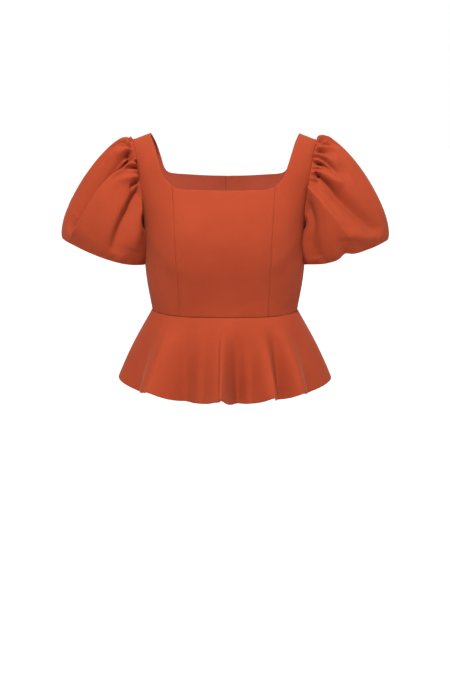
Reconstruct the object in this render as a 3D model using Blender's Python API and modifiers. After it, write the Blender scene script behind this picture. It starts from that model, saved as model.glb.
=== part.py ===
"""A square-necked peplum top with gathered puff sleeves, standing open as if it were worn.

Sizes are in millimetres and become metres where a mesh is made. The front faces -Y, the wearer's
left is +X, and the origin lies midway between the shoulders, where the straps rest on them.
"""

import math

import bpy
import numpy as np

MM = 0.001

# The cloth of each piece, and the space that parts two pieces along a seam
BODICE_WALL = 1.5
PEPLUM_WALL = 1.4
SLEEVE_WALL = 1.2
CUFF_WALL = 1.5
SEAM_GAP = 0.3

# Shoulder straps
STRAP_INNER = 142.0
STRAP_OUTER = 175.0
SHOULDER_DROP = 12.5
SHOULDER_ROLL = 70.0

# Heights below the shoulder
UNDERARM = -190.0
ARMHOLE_TURN = -147.0
WAIST_FRONT = -338.0
WAIST_SIDE = -341.5
WAIST_BACK = -340.0

# Length of the peplum from the waist seam to its hem
PEPLUM_FRONT = 164.0
PEPLUM_SIDE = 153.0
PEPLUM_BACK = 160.0

ORANGE = (0.46, 0.062, 0.021, 1.0)
CREPE_ROUGHNESS = 0.85


def table(columns, *rows):
    """Rows of numbers under named columns, as one array for each name."""
    return dict(zip(columns.split(), np.array(rows, float).T))


def through(stations, values, at):
    """The smooth curve through the values at rising stations, read at each place in at."""
    stations, values = np.asarray(stations, float), np.asarray(values, float)
    at = np.clip(at, stations[0], stations[-1])
    slopes = np.gradient(values, stations)
    low = np.clip(np.searchsorted(stations, at) - 1, 0, len(stations) - 2)
    span = stations[low + 1] - stations[low]
    t = (at - stations[low]) / span
    start = (1 + 2 * t) * (1 - t) ** 2 * values[low] + t * (1 - t) ** 2 * span * slopes[low]
    end = t * t * (3 - 2 * t) * values[low + 1] + t * t * (t - 1) * span * slopes[low + 1]
    return start + end


def round_trip(shares, values, at):
    """The same smooth curve on a closed loop, with shares from 0 up to but not including 1."""
    shares, values = np.asarray(shares, float), np.asarray(values, float)
    stations = np.concatenate([shares - 1, shares, shares + 1])
    return through(stations, np.tile(values, 3), np.mod(at, 1.0))


# The figure that the top stands on, from the waist up. Each level is a rounded ring, and
# fullness is its exponent: 2 is an ellipse, and more is squarer.
FIGURE = table(
    "height half_width front back fullness",
    (-350, 139.0, 95.0, 85.5, 2.12),
    (-325, 143.5, 97.0, 84.5, 2.15),
    (-280, 151.0, 106.0, 87.0, 2.2),
    (-235, 154.5, 118.0, 91.5, 2.3),
    (-187, 155.0, 123.0, 95.5, 2.35),
    (-147, 161.0, 112.0, 98.0, 2.4),
    (-105, 172.0, 95.0, 97.0, 2.45),
    (-70, 178.5, 83.0, 92.0, 2.5),
    (-30, 184.0, 74.0, 85.0, 2.5),
    (10, 187.0, 67.0, 77.0, 2.5),
)

# Neckline from the centre to the strap's top, as half of the opening
NECK_FRONT = table(
    "across height",
    (0, -93.4),
    (50, -92.4),
    (92.5, -89.2),
    (102.5, -85.0),
    (109, -78.5),
    (114, -70.0),
    (119.5, -55.5),
    (128, -29.5),
    (136, -10.0),
    (STRAP_INNER, 0.0),
)
NECK_BACK = table(
    "across height",
    (0, -94.5),
    (45, -93.4),
    (80, -90.6),
    (100, -88.8),
    (110, -87.0),
    (117, -82.5),
    (121.5, -74.0),
    (124.5, -62.0),
    (129.5, -43.0),
    (135, -22.0),
    (139.5, -8.5),
    (STRAP_INNER, 0.0),
)
# Armhole from its turn under the arm up to the strap's top
ARMHOLE_EDGE = table(
    "height across",
    (ARMHOLE_TURN, 152.0),
    (-123, 154.0),
    (-98, 157.5),
    (-78, 161.0),
    (-55, 165.0),
    (-36, 168.5),
    (-SHOULDER_DROP, STRAP_OUTER),
)
# The front's sewn line from the waist over the bust to the neckline
PANEL_SEAM = table(
    "height across",
    (-345, 84.5),
    (-260, 87.5),
    (-190, 91.0),
    (-88, 96.5),
)


def ring(height, sink=0.0):
    """Half-width, front depth, back depth and fullness of the figure at a height."""
    half, front, back, fullness = (
        through(FIGURE["height"], FIGURE[name], height)
        for name in ("half_width", "front", "back", "fullness")
    )
    return half - sink, front - sink, back - sink, fullness


def shoulder_line(across):
    """Height of the ridge over the shoulder."""
    return -(np.abs(across) - STRAP_INNER) * SHOULDER_DROP / (STRAP_OUTER - STRAP_INNER)


def roll(across, height):
    """How far the cloth has rolled from the shoulder ridge to its full depth, from 0 to 1."""
    share = np.clip((shoulder_line(across) - height) / SHOULDER_ROLL, 0, 1)
    return np.sqrt(1 - (1 - share) ** 2)


def on_figure(angle, height, sink=0.0):
    """Points of the cloth at angles in degrees from centre front towards the wearer's left."""
    turn = np.radians(angle)
    half, front, back, fullness = ring(height, sink)
    depth = np.where(np.abs(angle) <= 90, front, back)
    wide = (np.abs(np.sin(turn)) / half) ** fullness
    deep = (np.abs(np.cos(turn)) / depth) ** fullness
    reach = (wide + deep) ** (-1 / fullness)
    across = reach * np.sin(turn)
    rolled = roll(across, height)
    return np.stack([across, -reach * np.cos(turn) * rolled, height - sink * (1 - rolled)], -1)


def angle_at(across, height, back=False):
    """The angle at which the figure is that far across at a height."""
    half, front, rear, fullness = ring(height)
    share = np.clip(1 - (np.abs(across) / half) ** fullness, 0, 1) ** (1 / fullness)
    angle = np.degrees(np.arctan2(across, share * (rear if back else front)))
    return 180 - angle if back else angle


def waist_height(angle):
    """The waist seam runs nearly level, a little lower at the sides."""
    level = np.where(np.abs(angle) <= 90, WAIST_FRONT, WAIST_BACK)
    return WAIST_SIDE + (level - WAIST_SIDE) * np.cos(np.radians(angle)) ** 2


def evenly(line, count):
    """An edge of (angle, height) points, read again at equal lengths of cloth."""
    steps = np.linalg.norm(np.diff(on_figure(line[:, 0], line[:, 1]), axis=0), axis=1)
    run = np.concatenate([[0], np.cumsum(steps)])
    at = np.linspace(0, run[-1], count)
    return np.stack([np.interp(at, run, line[:, 0]), np.interp(at, run, line[:, 1])], 1)


def to_shoulder(line, count):
    """An even edge that ends with a short step, so that the cloth comes level to the shoulder seam."""
    edge = evenly(line, count)
    short = evenly(line, 121)[-2]
    return np.concatenate([edge[:-1], short[None], edge[-1:]])


def neck_edge(edge, back=False):
    """The neckline from the centre to the shoulder, as (angle, height) points."""
    walked = np.linspace(0, 1, 200)
    steps = np.hypot(np.diff(edge["across"]), np.diff(edge["height"]))
    run = np.concatenate([[0], np.cumsum(steps)]) / steps.sum()
    across, height = (through(run, edge[name], walked) for name in ("across", "height"))
    return np.stack([angle_at(across, height, back), height], 1)


def armhole_edge(back=False):
    """The armhole from the underarm to the shoulder, as (angle, height) points."""
    height = np.linspace(ARMHOLE_TURN, -SHOULDER_DROP, 120)
    across = through(ARMHOLE_EDGE["height"], ARMHOLE_EDGE["across"], height)
    upper = np.stack([angle_at(across, height, back), height], 1)
    hollow = np.radians(np.linspace(90, 0, 60, endpoint=False))
    lower = np.stack(
        [
            90 + (upper[0, 0] - 90) * np.cos(hollow) ** 1.5,
            ARMHOLE_TURN + (UNDERARM - ARMHOLE_TURN) * np.sin(hollow) ** 1.5,
        ],
        1,
    )
    return np.concatenate([lower, upper])


def shares(count, lip=0.03):
    """Even shares from 0 to 1, with a short last one that turns the cloth fully into its seam."""
    even = np.linspace(0, 1, count)
    return np.concatenate([even[:-1], [1 - lip], even[-1:]])


def patch(bottom, top, inner, outer, across):
    """A grid of (angle, height) between four edges, with rows rising and columns going outwards."""
    across = across[None, :, None]
    up = np.linspace(0, 1, len(inner))[:, None, None]
    sides = (1 - across) * inner[:, None] + across * outer[:, None]
    ends = (1 - up) * bottom[None] + up * top[None]
    low = (1 - across) * bottom[0] + across * bottom[-1]
    high = (1 - across) * top[0] + across * top[-1]
    return sides + ends - (1 - up) * low - up * high


def waist_edge(start, end, across):
    angle = start + (end - start) * across
    return np.stack([angle, waist_height(angle)], 1)


def trimmed(grid, gap=SEAM_GAP):
    """The grid with each outer edge drawn in by half of the seam's gap."""
    grid = grid.copy()
    for edge, beside in ((0, 1), (-1, -2)):
        for view in (grid, grid.swapaxes(0, 1)):
            inward = view[beside] - view[edge]
            view[edge] += inward * (gap / 2 / np.linalg.norm(inward, axis=1))[:, None]
    return grid


def mirrored(grid):
    return grid[:, ::-1] * (-1, 1, 1)


def panel_seam(count):
    """The front's sewn line from waist to neckline."""
    top = neck_edge(NECK_FRONT)
    foot = angle_at(PANEL_SEAM["across"][0], WAIST_FRONT)
    height = np.linspace(float(waist_height(foot)), -88.0, count)
    across = through(PANEL_SEAM["height"], PANEL_SEAM["across"], height)
    line = np.stack([angle_at(across, height), height], 1)
    line[-1] = top[np.abs(top[:, 0] - line[-1, 0]).argmin()]
    return line


def front_centre():
    """The front's middle panel, between the two sewn lines."""
    rows, columns = 13, 13
    right = panel_seam(rows)
    left = right * (-1, 1)
    neck = neck_edge(NECK_FRONT)
    half = evenly(neck[neck[:, 0] <= right[-1, 0]], (columns + 1) // 2)
    half[-1] = right[-1]
    top = np.concatenate([half[:0:-1] * (-1, 1), half])
    across = np.linspace(0, 1, columns)
    return patch(waist_edge(left[0, 0], right[0, 0], across), top, left, right, across)


def strap_top(part, back=False):
    """The shoulder seam, from the neckline out to the armhole."""
    across = STRAP_INNER + (STRAP_OUTER - STRAP_INNER) * part
    height = shoulder_line(across)
    return np.stack([angle_at(across, height, back), height], 1)


def front_side():
    """The wearer's left side of the front, with the strap cut in one with it."""
    low, middle, high, columns = 9, 4, 10, 7
    neck = neck_edge(NECK_FRONT)
    seam = panel_seam(low + middle)
    beyond = np.concatenate([seam[-1:], neck[neck[:, 0] > seam[-1, 0] + 0.01]])
    inner = np.concatenate([seam, to_shoulder(beyond, high)[1:]])
    side = np.stack([np.full(low, 90.0), np.linspace(WAIST_SIDE, UNDERARM, low)], 1)
    outer = np.concatenate([side, to_shoulder(armhole_edge(), middle + high)[1:]])
    across = shares(columns)
    return patch(waist_edge(inner[0, 0], 90, across), strap_top(across), inner, outer, across)


def back_half():
    """The wearer's left half of the back, out to the side, with its strap."""
    low, middle, high, columns = 9, 4, 10, 9
    neck = neck_edge(NECK_BACK, back=True)
    centre = np.stack(
        [np.full(low + middle, 180.0), np.linspace(WAIST_BACK, neck[0, 1], low + middle)], 1
    )
    inner = np.concatenate([centre, to_shoulder(neck, high)[1:]])
    side = np.stack([np.full(low, 90.0), np.linspace(WAIST_SIDE, UNDERARM, low)], 1)
    outer = np.concatenate([side, to_shoulder(armhole_edge(True), middle + high)[1:]])
    across = shares(columns)
    return patch(waist_edge(180, 90, across), strap_top(across, True), inner, outer, across)


# Flutes of the peplum: where each crest and trough falls, and how much it changes the flare
FLUTES = table(
    "angle turn",
    (-90, 2.5),
    (-57, -8.0),
    (-46, 8.0),
    (-20, -6.0),
    (-3, 9.5),
    (6, -6.5),
    (30, 5.0),
    (39, -5.5),
    (50, 3.5),
    (66, -6.0),
    (90, 2.5),
    (112, -6.5),
    (131, 6.0),
    (152, -5.5),
    (175, 6.0),
    (192, -6.5),
    (216, 5.5),
    (243, -6.0),
)
FLARE_AT_WAIST = 30.0
FLARE_AT_HEM = 19.0


def waves(stations, values, at, period):
    """A soft wave that runs level through each value at its station and repeats after period."""
    stations = np.concatenate([stations - period, stations, stations + period])
    values = np.tile(values, 3)
    low = np.clip(np.searchsorted(stations, at) - 1, 0, len(stations) - 2)
    share = (at - stations[low]) / (stations[low + 1] - stations[low])
    share = np.clip(share, 0, 1)
    return values[low] + (values[low + 1] - values[low]) * share * share * (3 - 2 * share)


def peplum(start, end, between=4, rows=8):
    """A panel of the peplum, whose flutes open from nothing at the waist seam to the hem."""
    marks = FLUTES["angle"]
    marks = np.unique(np.concatenate([marks - 360, marks, marks + 360, [start, end]]))
    marks = marks[(marks >= start) & (marks <= end)]
    steps = np.linspace(0, 1, between, endpoint=False)
    angle = np.concatenate([a + (b - a) * steps for a, b in zip(marks, marks[1:])] + [[end]])
    angle = np.sort(np.concatenate([angle, [start + 1, end - 1]]))
    turn = waves(FLUTES["angle"], FLUTES["turn"], angle, 360.0)

    folded = (angle + 180) % 360 - 180
    foot = on_figure(folded, waist_height(folded))
    ahead = (angle + 1 + 180) % 360 - 180
    along = on_figure(ahead, waist_height(ahead)) - foot
    outward = np.stack([along[:, 1], -along[:, 0]], 1)
    outward /= np.linalg.norm(outward, axis=1)[:, None]

    run = np.linspace(0, 1, 41)
    opened = np.clip(run / 0.45, 0, 1)
    opened = opened * opened * (3 - 2 * opened)
    flare = FLARE_AT_WAIST + (FLARE_AT_HEM - FLARE_AT_WAIST) * run
    flare = np.radians(flare[:, None] + turn[None] * opened[:, None])
    longest = np.where(np.abs(folded) <= 90, PEPLUM_FRONT, PEPLUM_BACK)
    step = PEPLUM_SIDE + (longest - PEPLUM_SIDE) * np.cos(np.radians(folded)) ** 2
    step = step / 40
    out = np.concatenate([np.zeros((1, len(angle))), np.cumsum(np.sin(flare[1:]) * step, 0)])
    down = np.concatenate([np.zeros((1, len(angle))), np.cumsum(np.cos(flare[1:]) * step, 0)])

    take = np.round(np.linspace(0, 40, rows)).astype(int)[::-1]
    out, down = out[take], down[take]
    flat = foot[None, :, :2] + outward[None] * out[:, :, None]
    height = foot[None, :, 2] - down - SEAM_GAP
    return np.concatenate([flat, height[:, :, None]], 2)


# The puff sleeve. Shares run round it from the shoulder over the front (0.25) to the underarm
# (0.5) and the back (0.75).
HEM_MIDDLE = (236.5, 4.0, -225.5)
HEM_TILT = 17.5
HEM_ACROSS = 82.0
HEM_DEPTH = 74.0
HEM_ROLL = 6.0
BAND_ACROSS = 55.0
BAND_DEPTH = 51.0
BAND_RISE = 24.0
BAND_HEIGHT = 18.0

# How the cloth leaves the armhole and comes to the hem
PUFF = table(
    "share outward lifted leaving arriving tucked",
    (0.0, 0.78, 0.64, 160.0, 172.0, 28.0),
    (0.12, 0.72, 0.66, 140.0, 175.0, 30.0),
    (0.25, 0.66, 0.66, 105.0, 180.0, 34.0),
    (0.38, 0.75, 0.40, 75.0, 110.0, 30.0),
    (0.50, 0.90, 0.15, 40.0, 50.0, 20.0),
    (0.62, 0.75, 0.40, 75.0, 110.0, 30.0),
    (0.75, 0.66, 0.66, 105.0, 180.0, 34.0),
    (0.88, 0.72, 0.66, 140.0, 175.0, 30.0),
)
# Gathers at the head of the sleeve, from the back over the shoulder to the front
GATHERS = table(
    "share depth length",
    (-0.215, 1.6, 0.14),
    (-0.192, 2.3, 0.20),
    (-0.168, 2.6, 0.26),
    (-0.141, 3.0, 0.22),
    (-0.113, 3.1, 0.30),
    (-0.087, 2.8, 0.24),
    (-0.061, 3.2, 0.30),
    (-0.034, 2.9, 0.25),
    (-0.008, 3.0, 0.22),
    (0.019, 3.3, 0.30),
    (0.044, 2.7, 0.22),
    (0.069, 3.2, 0.32),
    (0.096, 3.0, 0.24),
    (0.121, 3.2, 0.30),
    (0.147, 2.8, 0.22),
    (0.172, 2.5, 0.26),
    (0.196, 2.1, 0.20),
    (0.219, 1.5, 0.14),
)
# The main folds of each puff, as lines from one place to another: across is the share round the
# sleeve and down the share from armhole to hem, and depth is negative in a trough
FOLDS_RIGHT = table(
    "across down across_end down_end width depth",
    (0.045, 0.05, 0.045, 0.45, 9, -3.5),
    (0.112, 0.08, 0.135, 0.50, 12, 8.0),
    (0.135, 0.46, 0.110, 0.90, 12, 8.0),
    (0.090, 0.30, 0.095, 0.75, 13, -8.5),
    (0.143, 0.10, 0.152, 0.28, 7, -4.5),
    (0.162, 0.10, 0.170, 0.30, 8, 4.5),
    (0.215, 0.06, 0.270, 0.38, 15, -7.0),
    (0.268, 0.30, 0.290, 0.88, 20, -8.0),
    (0.350, 0.15, 0.370, 0.80, 22, 5.0),
    (0.930, 0.08, 0.910, 0.60, 12, -6.0),
    (0.885, 0.10, 0.865, 0.80, 14, 7.5),
    (0.820, 0.12, 0.830, 0.75, 15, -8.0),
    (0.760, 0.10, 0.740, 0.70, 16, 6.5),
    (0.690, 0.15, 0.700, 0.80, 18, -6.0),
)
FOLDS_LEFT = table(
    "across down across_end down_end width depth",
    (0.005, 0.02, 0.030, 0.26, 11, 6.0),
    (0.080, 0.05, 0.058, 0.30, 9, -5.0),
    (0.108, 0.07, 0.075, 0.36, 9, 4.5),
    (0.127, 0.05, 0.112, 0.38, 9, -5.0),
    (0.163, 0.06, 0.140, 0.44, 10, 5.5),
    (0.183, 0.08, 0.182, 0.42, 12, -8.0),
    (0.182, 0.38, 0.120, 0.88, 15, -10.0),
    (0.228, 0.05, 0.222, 0.55, 11, 7.0),
    (0.222, 0.50, 0.212, 0.90, 13, 9.0),
    (0.250, 0.70, 0.264, 0.99, 9, -6.0),
    (0.335, 0.15, 0.375, 0.60, 20, -6.0),
    (0.940, 0.08, 0.925, 0.70, 13, -6.5),
    (0.895, 0.08, 0.870, 0.60, 13, 6.5),
    (0.835, 0.12, 0.825, 0.80, 15, -8.0),
    (0.770, 0.10, 0.760, 0.75, 16, 7.0),
    (0.700, 0.15, 0.720, 0.70, 18, -6.0),
)
# How far the rolled hem of each puff hangs below its middle plane
SWAGS_RIGHT = table(
    "share drop",
    (0.0, 0.0),
    (0.06, -2.0),
    (0.13, -3.5),
    (0.20, -2.0),
    (0.30, 1.0),
    (0.37, 2.5),
    (0.45, 0.5),
    (0.50, 0.0),
    (0.62, 1.5),
    (0.75, -2.0),
    (0.87, 1.0),
)
SWAGS_LEFT = table(
    "share drop",
    (0.0, 0.0),
    (0.08, -3.0),
    (0.17, -4.0),
    (0.235, -6.0),
    (0.262, -10.5),
    (0.29, -3.5),
    (0.33, -0.5),
    (0.42, -1.5),
    (0.50, 0.0),
    (0.60, 1.0),
    (0.72, -2.5),
    (0.86, 1.0),
)


def armhole_loop(share):
    """Points of the armhole's edge at shares of the way round."""
    halves = []
    for back in (False, True):
        line = evenly(armhole_edge(back), 121)[::-1]
        halves.append(on_figure(line[:, 0], line[:, 1]))
    loop = np.concatenate([halves[0], halves[1][::-1][1:]])
    at = np.mod(share, 1.0)
    return np.stack([np.interp(at, np.linspace(0, 1, 241), loop[:, i]) for i in range(3)], -1)


def sleeve_columns():
    """Places round the sleeve: four to each gather, and wider apart under the arm."""
    crests = GATHERS["share"]
    fine = np.concatenate([a + (b - a) * np.arange(4) / 4 for a, b in zip(crests, crests[1:])])
    under = np.linspace(crests[-1], crests[0] + 1, 15)[:-1]
    return np.concatenate([fine, under])


def gathers(share, down):
    """The height of the gathered cloth above the puff."""
    crests = GATHERS["share"]
    troughs = (crests[1:] + crests[:-1]) / 2
    stations = np.sort(np.concatenate([crests, troughs, [crests[0] - 0.02, crests[-1] + 0.02]]))
    depth = np.interp(stations, crests, GATHERS["depth"]) * -0.8
    depth[1:-1:2] *= -1.25
    depth[[0, -1]] = 0
    length = np.interp(np.mod(share + 0.5, 1) - 0.5, crests, GATHERS["length"])
    wave = waves(stations, depth, np.mod(share + 0.5, 1) - 0.5, 1.0)
    return wave * (1 - np.exp(-down / 0.035)) * np.exp(-((down / length) ** 2))


def folds(share, down, lines):
    """The height of the main folds above the puff."""
    total = np.zeros(np.broadcast(share, down).shape)
    for a0, d0, a1, d1, width, depth in zip(*lines.values()):
        along = np.array([(a1 - a0) * 520, (d1 - d0) * 215])
        beside = (np.mod(share - a0 + 0.5, 1) - 0.5) * 520
        away = np.stack(np.broadcast_arrays(beside, (down - d0) * 215))
        part = np.clip(np.tensordot(along, away, 1) / (along @ along), 0, 1)
        miss = np.linalg.norm(away - along[:, None, None] * part, axis=0)
        total += depth * np.exp(-((miss / width) ** 2)) * np.sin(np.pi * (0.12 + 0.76 * part)) ** 0.7
    return total


def puff_sleeve(lines, swags, downs=(0, 0.04, 0.1, 0.18, 0.27, 0.38, 0.5, 0.62, 0.74, 0.86, 1)):
    """The wearer's left sleeve, from the armhole over the puff and round under its hem."""
    share = sleeve_columns()
    turn = 2 * np.pi * share
    spread = [
        round_trip(PUFF["share"], PUFF[name], share)[:, None]
        for name in ("outward", "lifted", "leaving", "arriving", "tucked")
    ]
    outward, lifted, leaving, arriving, tucked = spread

    start = armhole_loop(share)
    middle = start.mean(0)
    away = (start - middle) * (0, 1, 1)
    away /= np.linalg.norm(away, axis=1)[:, None]
    leave = outward * (1, 0, 0) + lifted * away
    leave /= np.linalg.norm(leave, axis=1)[:, None]
    start = start + leave * SEAM_GAP

    tilt = math.radians(HEM_TILT)
    side = np.array([math.cos(tilt), 0, math.sin(tilt)])
    axis = np.array([math.sin(tilt), 0, -math.cos(tilt)])
    rim = np.cos(turn)[:, None] * side * HEM_ACROSS - np.sin(turn)[:, None] * (0, HEM_DEPTH, 0)
    drop = round_trip(swags["share"], swags["drop"], share)[:, None]
    end = np.array(HEM_MIDDLE) + rim + axis * drop
    rim_out = rim / np.linalg.norm(rim, axis=1)[:, None]
    bend = np.radians(tucked)
    arrive = axis * np.cos(bend) - rim_out * np.sin(bend)

    t = np.array(downs)[:, None, None]
    grid = (
        (1 + 2 * t) * (1 - t) ** 2 * start
        + t * (1 - t) ** 2 * leaving * leave
        + t * t * (3 - 2 * t) * end
        + t * t * (t - 1) * arriving * arrive
    )
    round_it = np.concatenate([grid[:, -1:], grid, grid[:, :1]], 1)
    around = round_it[:, 2:] - round_it[:, :-2]
    normal = np.cross(around, np.gradient(grid, axis=0))
    normal /= np.linalg.norm(normal, axis=2)[:, :, None]
    down = np.array(downs)[:, None]
    fade = np.clip((1 - down) / 0.15, 0, 1)
    height = gathers(share[None], down) + folds(share[None], down, lines) * np.clip(down / 0.05, 0, 1)
    grid = grid + normal * (height * fade)[:, :, None]

    inward = -axis * np.sin(bend) - rim_out * np.cos(bend)
    rolled = [
        end + HEM_ROLL * (arrive * math.sin(a) + inward * (1 - math.cos(a)))
        for a in np.radians((75, 150))
    ]
    rolled += [band_ring(share, -6.0), band_ring(share)]
    return np.concatenate([grid, rolled])


def band_ring(share, rise=0.0):
    """The ring round the arm where the turned-up cloth is gathered into its band."""
    turn = 2 * np.pi * np.asarray(share)[:, None]
    tilt = math.radians(HEM_TILT)
    side = np.array([math.cos(tilt), 0, math.sin(tilt)])
    axis = np.array([math.sin(tilt), 0, -math.cos(tilt)])
    ring_ = np.cos(turn) * side * BAND_ACROSS - np.sin(turn) * (0, BAND_DEPTH, 0)
    return np.array(HEM_MIDDLE) + ring_ - axis * (BAND_RISE + rise)


def sleeve_band():
    share = sleeve_columns()[::2]
    return np.stack([band_ring(share, SEAM_GAP), band_ring(share, BAND_HEIGHT)])


def material(name, colour):
    made = bpy.data.materials.new(name)
    made.use_nodes = True
    shader = made.node_tree.nodes["Principled BSDF"]
    shader.inputs["Base Color"].default_value = colour
    shader.inputs["Roughness"].default_value = CREPE_ROUGHNESS
    return made


def cloth(name, grid, wall, around=False):
    """A wall of cloth inside a grid of points, which is closed into a tube if it goes around."""
    rows, columns = grid.shape[:2]
    mesh = bpy.data.meshes.new(name)
    faces = []
    for row in range(rows - 1):
        for column in range(columns if around else columns - 1):
            beside = (column + 1) % columns
            here, above = row * columns, (row + 1) * columns
            faces.append((here + column, here + beside, above + beside, above + column))
    mesh.from_pydata((grid.reshape(-1, 3) * MM).tolist(), [], faces)
    mesh.polygons.foreach_set("use_smooth", [True] * len(faces))
    mesh.materials.append(material(name + "_crepe", ORANGE))
    piece = bpy.data.objects.new(name, mesh)
    bpy.context.collection.objects.link(piece)
    thick = piece.modifiers.new("Cloth", "SOLIDIFY")
    thick.thickness = wall * MM
    thick.offset = -1
    thick.use_even_offset = True
    thick.use_quality_normals = True
    return piece


def surface(grid):
    return on_figure(grid[:, :, 0], grid[:, :, 1])


for stale in list(bpy.data.objects):
    bpy.data.objects.remove(stale, do_unlink=True)

cloth("bodice_front_centre", trimmed(surface(front_centre())), BODICE_WALL)
side = trimmed(surface(front_side()))
cloth("bodice_front_left", side, BODICE_WALL)
cloth("bodice_front_right", mirrored(side), BODICE_WALL)
half = trimmed(surface(back_half())[:, ::-1])
cloth("bodice_back_left", half, BODICE_WALL)
cloth("bodice_back_right", mirrored(half), BODICE_WALL)
cloth("peplum_front", trimmed(peplum(-90, 90)), PEPLUM_WALL)
cloth("peplum_back", trimmed(peplum(90, 270)), PEPLUM_WALL)
cloth("sleeve_left", puff_sleeve(FOLDS_LEFT, SWAGS_LEFT), SLEEVE_WALL, around=True)
cloth("sleeve_right", mirrored(puff_sleeve(FOLDS_RIGHT, SWAGS_RIGHT)), SLEEVE_WALL, around=True)
cloth("sleeve_band_left", sleeve_band(), CUFF_WALL, around=True)
cloth("sleeve_band_right", mirrored(sleeve_band()), CUFF_WALL, around=True)
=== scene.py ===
"""The look of a square-necked peplum top in burnt-orange crepe, standing open as if worn.

Lengths are in millimetres until a mesh is made. The front faces -Y and the origin lies between
the shoulders.
"""

import math

import bpy
import mathutils
import numpy as np
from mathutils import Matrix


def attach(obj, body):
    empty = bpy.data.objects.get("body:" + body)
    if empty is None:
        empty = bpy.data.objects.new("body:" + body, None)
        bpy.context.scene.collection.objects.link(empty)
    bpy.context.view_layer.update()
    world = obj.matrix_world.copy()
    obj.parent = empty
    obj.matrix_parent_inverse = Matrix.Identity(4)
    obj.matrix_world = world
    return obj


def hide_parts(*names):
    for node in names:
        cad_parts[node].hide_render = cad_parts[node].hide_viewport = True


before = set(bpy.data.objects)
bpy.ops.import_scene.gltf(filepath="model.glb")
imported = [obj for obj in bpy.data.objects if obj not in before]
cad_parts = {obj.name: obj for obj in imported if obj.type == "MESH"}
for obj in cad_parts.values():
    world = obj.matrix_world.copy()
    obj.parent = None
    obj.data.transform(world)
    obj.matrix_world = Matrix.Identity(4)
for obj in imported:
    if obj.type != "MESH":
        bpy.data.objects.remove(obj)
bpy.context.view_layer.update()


# The front's middle panel
# One piece of firm polyester crepe, cut from the neckline to the waist and joined to the side
# panels by two seams that run over the bust. Its neck edge is turned in and pressed.

MM = 0.001
SEAM_GAP = 0.05
STRAP_INNER = 142.0
STRAP_OUTER = 175.0
SHOULDER_DROP = 12.5
SHOULDER_ROLL = 70.0
WAIST_FRONT = -338.0
WAIST_SIDE = -341.5
WAIST_BACK = -340.0
CREPE_THICKNESS = 1.0


def table(columns, *rows):
    """Rows of numbers under named columns, as one array for each name."""
    return dict(zip(columns.split(), np.array(rows, float).T))


def through(stations, values, at):
    """The smooth curve through the values at rising stations, read at each place in at."""
    stations, values = np.asarray(stations, float), np.asarray(values, float)
    at = np.clip(at, stations[0], stations[-1])
    slopes = np.gradient(values, stations)
    low = np.clip(np.searchsorted(stations, at) - 1, 0, len(stations) - 2)
    span = stations[low + 1] - stations[low]
    t = (at - stations[low]) / span
    start = (1 + 2 * t) * (1 - t) ** 2 * values[low] + t * (1 - t) ** 2 * span * slopes[low]
    end = t * t * (3 - 2 * t) * values[low + 1] + t * t * (t - 1) * span * slopes[low + 1]
    return start + end


# The figure that the top stands on, from the waist up. Each level is a rounded ring, and
# fullness is its exponent: 2 is an ellipse, and more is squarer.
FIGURE = table(
    "height half_width front back fullness",
    (-350, 139.0, 95.0, 85.5, 2.12),
    (-325, 143.5, 97.0, 84.5, 2.15),
    (-280, 151.0, 106.0, 87.0, 2.2),
    (-235, 154.5, 118.0, 91.5, 2.3),
    (-187, 155.0, 123.0, 95.5, 2.35),
    (-147, 161.0, 112.0, 98.0, 2.4),
    (-105, 172.0, 95.0, 97.0, 2.45),
    (-70, 178.5, 83.0, 92.0, 2.5),
    (-30, 184.0, 74.0, 85.0, 2.5),
    (10, 187.0, 67.0, 77.0, 2.5),
)
# Neckline from the centre to the strap's top, as half of the opening
NECK_FRONT = table(
    "across height",
    (0, -96.4),
    (50, -95.4),
    (92.5, -91.6),
    (102.5, -85.0),
    (109, -78.5),
    (114, -70.0),
    (119.5, -55.5),
    (128, -29.5),
    (136, -10.0),
    (STRAP_INNER, 0.0),
)
# The front's sewn line from the waist over the bust to the neckline
PANEL_SEAM = table(
    "height across",
    (-345, 84.5),
    (-260, 87.5),
    (-190, 91.0),
    (-88, 96.5),
)


def ring(height):
    """Half-width, front depth, back depth and fullness of the figure at a height."""
    half, front, back, fullness = (
        through(FIGURE["height"], FIGURE[name], height)
        for name in ("half_width", "front", "back", "fullness")
    )
    return half, front, back, fullness


def shoulder_line(across):
    """Height of the ridge over the shoulder."""
    return -(np.abs(across) - STRAP_INNER) * SHOULDER_DROP / (STRAP_OUTER - STRAP_INNER)


def roll(across, height):
    """How far the cloth has rolled from the shoulder ridge to its full depth, from 0 to 1."""
    share = np.clip((shoulder_line(across) - height) / SHOULDER_ROLL, 0, 1)
    return np.sqrt(1 - (1 - share) ** 2)


def on_figure(angle, height):
    """Points of the cloth at angles in degrees from centre front towards the wearer's left."""
    turn = np.radians(angle)
    half, front, back, fullness = ring(height)
    depth = np.where(np.abs(angle) <= 90, front, back)
    wide = (np.abs(np.sin(turn)) / half) ** fullness
    deep = (np.abs(np.cos(turn)) / depth) ** fullness
    reach = (wide + deep) ** (-1 / fullness)
    across = reach * np.sin(turn)
    rolled = roll(across, height)
    return np.stack([across, -reach * np.cos(turn) * rolled, height + np.zeros_like(rolled)], -1)


def angle_at(across, height, back=False):
    """The angle at which the figure is that far across at a height."""
    half, front, rear, fullness = ring(height)
    share = np.clip(1 - (np.abs(across) / half) ** fullness, 0, 1) ** (1 / fullness)
    angle = np.degrees(np.arctan2(across, share * (rear if back else front)))
    return 180 - angle if back else angle


def waist_height(angle):
    """The waist seam runs nearly level, a little lower at the sides."""
    level = np.where(np.abs(angle) <= 90, WAIST_FRONT, WAIST_BACK)
    return WAIST_SIDE + (level - WAIST_SIDE) * np.cos(np.radians(angle)) ** 2


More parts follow.
